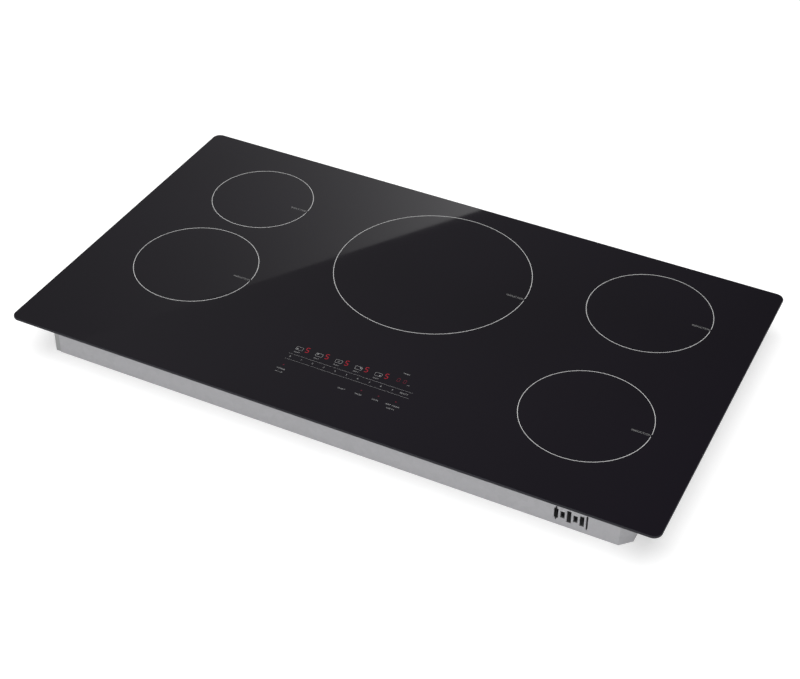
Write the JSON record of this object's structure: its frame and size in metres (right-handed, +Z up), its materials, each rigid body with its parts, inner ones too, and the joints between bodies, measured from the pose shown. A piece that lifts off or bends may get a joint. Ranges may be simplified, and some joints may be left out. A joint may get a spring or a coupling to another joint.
{
  "type": "electric induction cooktop",
  "caption": "Built-in electric induction cooktop: black glass top with ringed cooking zones and touch controls, on a vented sheet-steel pan.",
  "frame": {"origin": "middle of the glass in plan, at the underside of the pan", "axes": "+X to the cook's right, +Y to the back of the worktop, +Z up out of the glass"},
  "size_m": [0.924, 0.527, 0.066],
  "materials": {
    "glass": "polished, opaque, with fine printed lines",
    "foam": "matt closed-cell foam",
    "silicone": "satin",
    "steel": "galvanised sheet",
    "aluminium": "mill finish",
    "ferrite": "matt, sintered",
    "copper": "stranded enamelled wire",
    "mica": "matt, flaky sheet",
    "sensor": "matt white",
    "circuit": "green solder resist",
    "plastic": "fine moulded grain",
    "pale_plastic": "moulded",
    "capacitor": "shrink sleeve",
    "display": "dark red window",
    "zinc": "bright zinc plate"
  },
  "bodies": {
    "cooktop": {"air_duct_left": "plastic", "air_duct_right": "plastic", "blower_housing_left": "plastic", "blower_housing_right": "plastic", "bottom_pan": "steel", "coil_carrier_center": "aluminium", "coil_carrier_left_front": "aluminium", "coil_carrier_left_rear": "aluminium", "coil_carrier_right_front": "aluminium", "coil_carrier_right_rear": "aluminium", "coil_tray": "aluminium", "coil_winding_center": "copper", "coil_winding_left_front": "copper", "coil_winding_left_rear": "copper", "coil_winding_right_front": "copper", "coil_winding_right_rear": "copper", "conduit_fitting": "zinc", "conduit_locknut": "zinc", "control_board": "circuit", "control_bracket": "plastic", "cover_screw_1": "zinc", "cover_screw_2": "zinc", "display_module": "display", "ferrite_star_center": "ferrite", "ferrite_star_left_front": "ferrite", "ferrite_star_left_rear": "ferrite", "ferrite_star_right_front": "ferrite", "ferrite_star_right_rear": "ferrite", "filter_board": "circuit", "filter_capacitor": "capacitor", "filter_choke": "copper", "glass_bead": "silicone", "glass_top": "glass", "heat_sink_left": "aluminium", "heat_sink_right": "aluminium", "inverter_board_left": "circuit", "inverter_board_right": "circuit", "mica_disc_center": "mica", "mica_disc_left_front": "mica", "mica_disc_left_rear": "mica", "mica_disc_right_front": "mica", "mica_disc_right_rear": "mica", "pan_screw_back_1": "zinc", "pan_screw_back_2": "zinc", "pan_screw_back_3": "zinc", "pan_screw_left_1": "zinc", "pan_screw_left_2": "zinc", "pan_screw_right_1": "zinc", "pan_screw_right_2": "zinc", "perimeter_seal": "foam", "support_frame": "steel", "temperature_sensor_center": "sensor", "temperature_sensor_left_front": "sensor", "temperature_sensor_left_rear": "sensor", "temperature_sensor_right_front": "sensor", "temperature_sensor_right_rear": "sensor", "terminal_block": "pale_plastic", "terminal_cover": "steel"},
    "impeller_left": {"blower_impeller_left": "pale_plastic"},
    "impeller_right": {"blower_impeller_right": "pale_plastic"}
  },
  "joints": [
    {"name": "impeller_left_spin", "type": "hinge", "parent": "cooktop", "child": "impeller_left", "pos_m": [-0.3039, -0.1495, 0.015], "axis": [0, 0, 1], "continuous": true},
    {"name": "impeller_right_spin", "type": "hinge", "parent": "cooktop", "child": "impeller_right", "pos_m": [0.3039, 0.1585, 0.015], "axis": [0, 0, 1], "continuous": true}
  ]
}
